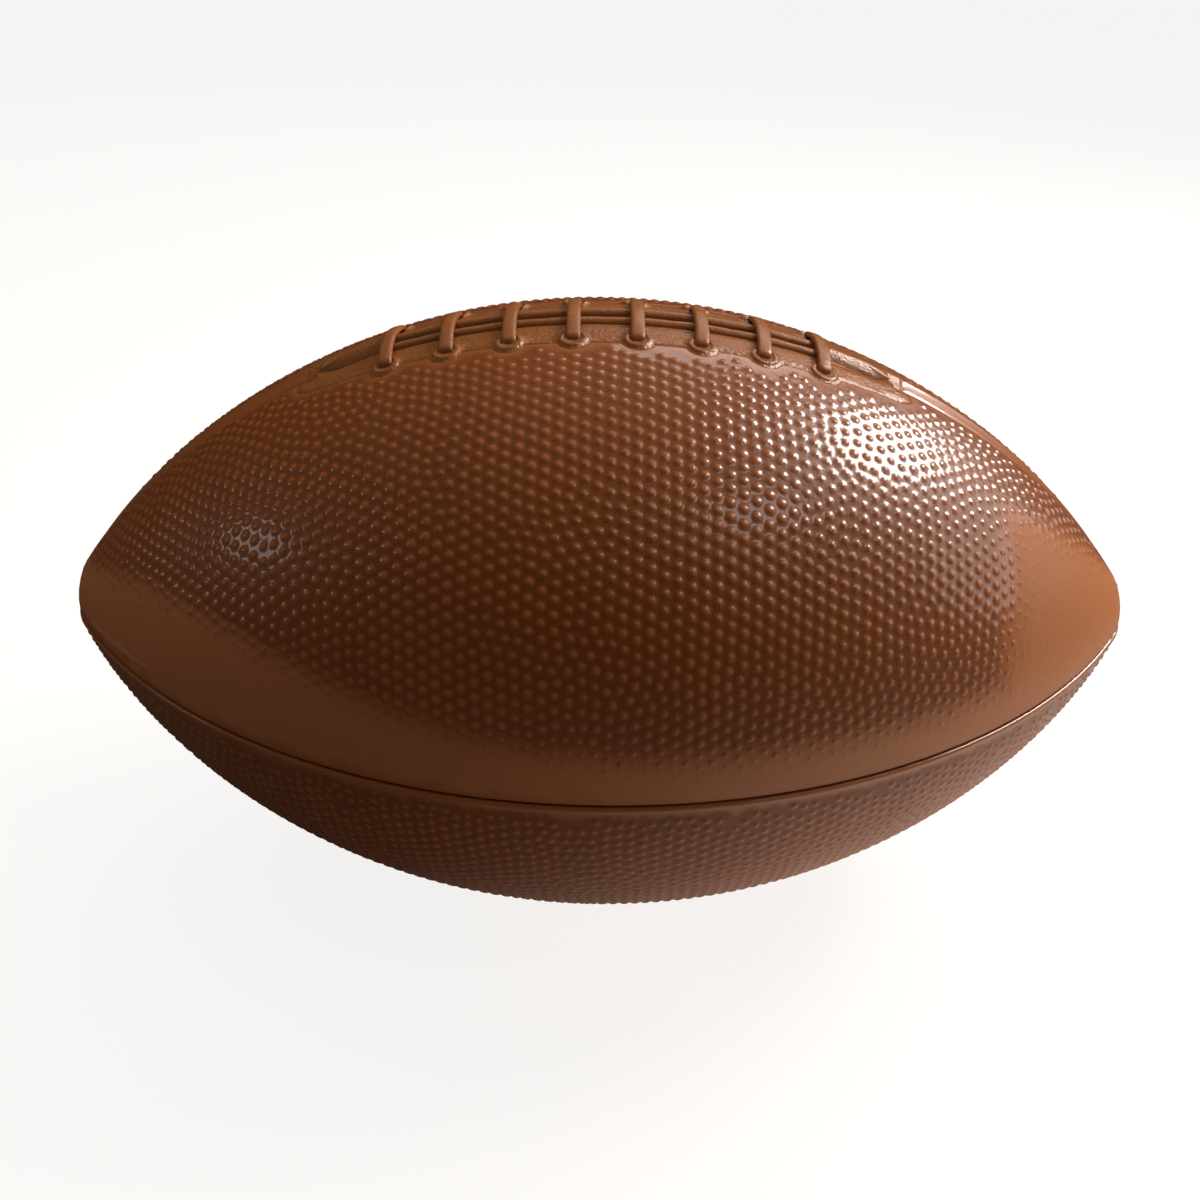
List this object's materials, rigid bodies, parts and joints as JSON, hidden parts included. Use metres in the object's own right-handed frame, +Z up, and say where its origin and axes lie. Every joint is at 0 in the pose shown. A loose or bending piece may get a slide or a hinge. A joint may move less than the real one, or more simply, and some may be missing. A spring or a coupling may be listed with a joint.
{
  "type": "american football",
  "caption": "Small moulded american football with pebbled panels, raised lacing over a slot, and a bladder with a replaceable valve core.",
  "frame": {"origin": "centre of the ball, halfway between the tips on its long axis", "axes": "+X along the long axis from tip to tip, +Z up through the lacing, -Y the front that the picture shows"},
  "size_m": [0.2588, 0.1478, 0.1489],
  "materials": {
    "cover": "glossy brown rubber with a raised pebble",
    "facing": "smooth glossy brown rubber",
    "lace": "smooth satin brown rubber",
    "carcass": "nylon thread set in rubber",
    "bladder": "matt black butyl",
    "valve": "matt dark rubber"
  },
  "bodies": {
    "ball": {"top_front_panel": "cover", "top_back_panel": "cover", "bottom_front_panel": "cover", "bottom_back_panel": "cover", "lace_facing_front": "facing", "lace_facing_back": "facing", "lace_pad": "lace", "lace_strand_front": "lace", "lace_strand_back": "lace", "lace_crossbar_1": "lace", "lace_crossbar_2": "lace", "lace_crossbar_3": "lace", "lace_crossbar_4": "lace", "lace_crossbar_5": "lace", "lace_crossbar_6": "lace", "lace_crossbar_7": "lace", "lace_crossbar_8": "lace", "wound_carcass": "carcass", "bladder": "bladder", "valve_housing": "valve"},
    "valve_core": {"valve_core": "valve"}
  },
  "joints": [
    {"name": "valve_core_slide", "type": "slide", "parent": "ball", "child": "valve_core", "axis": [0, 0.8192, -0.5736], "range_m": [0, 0.012]}
  ]
}
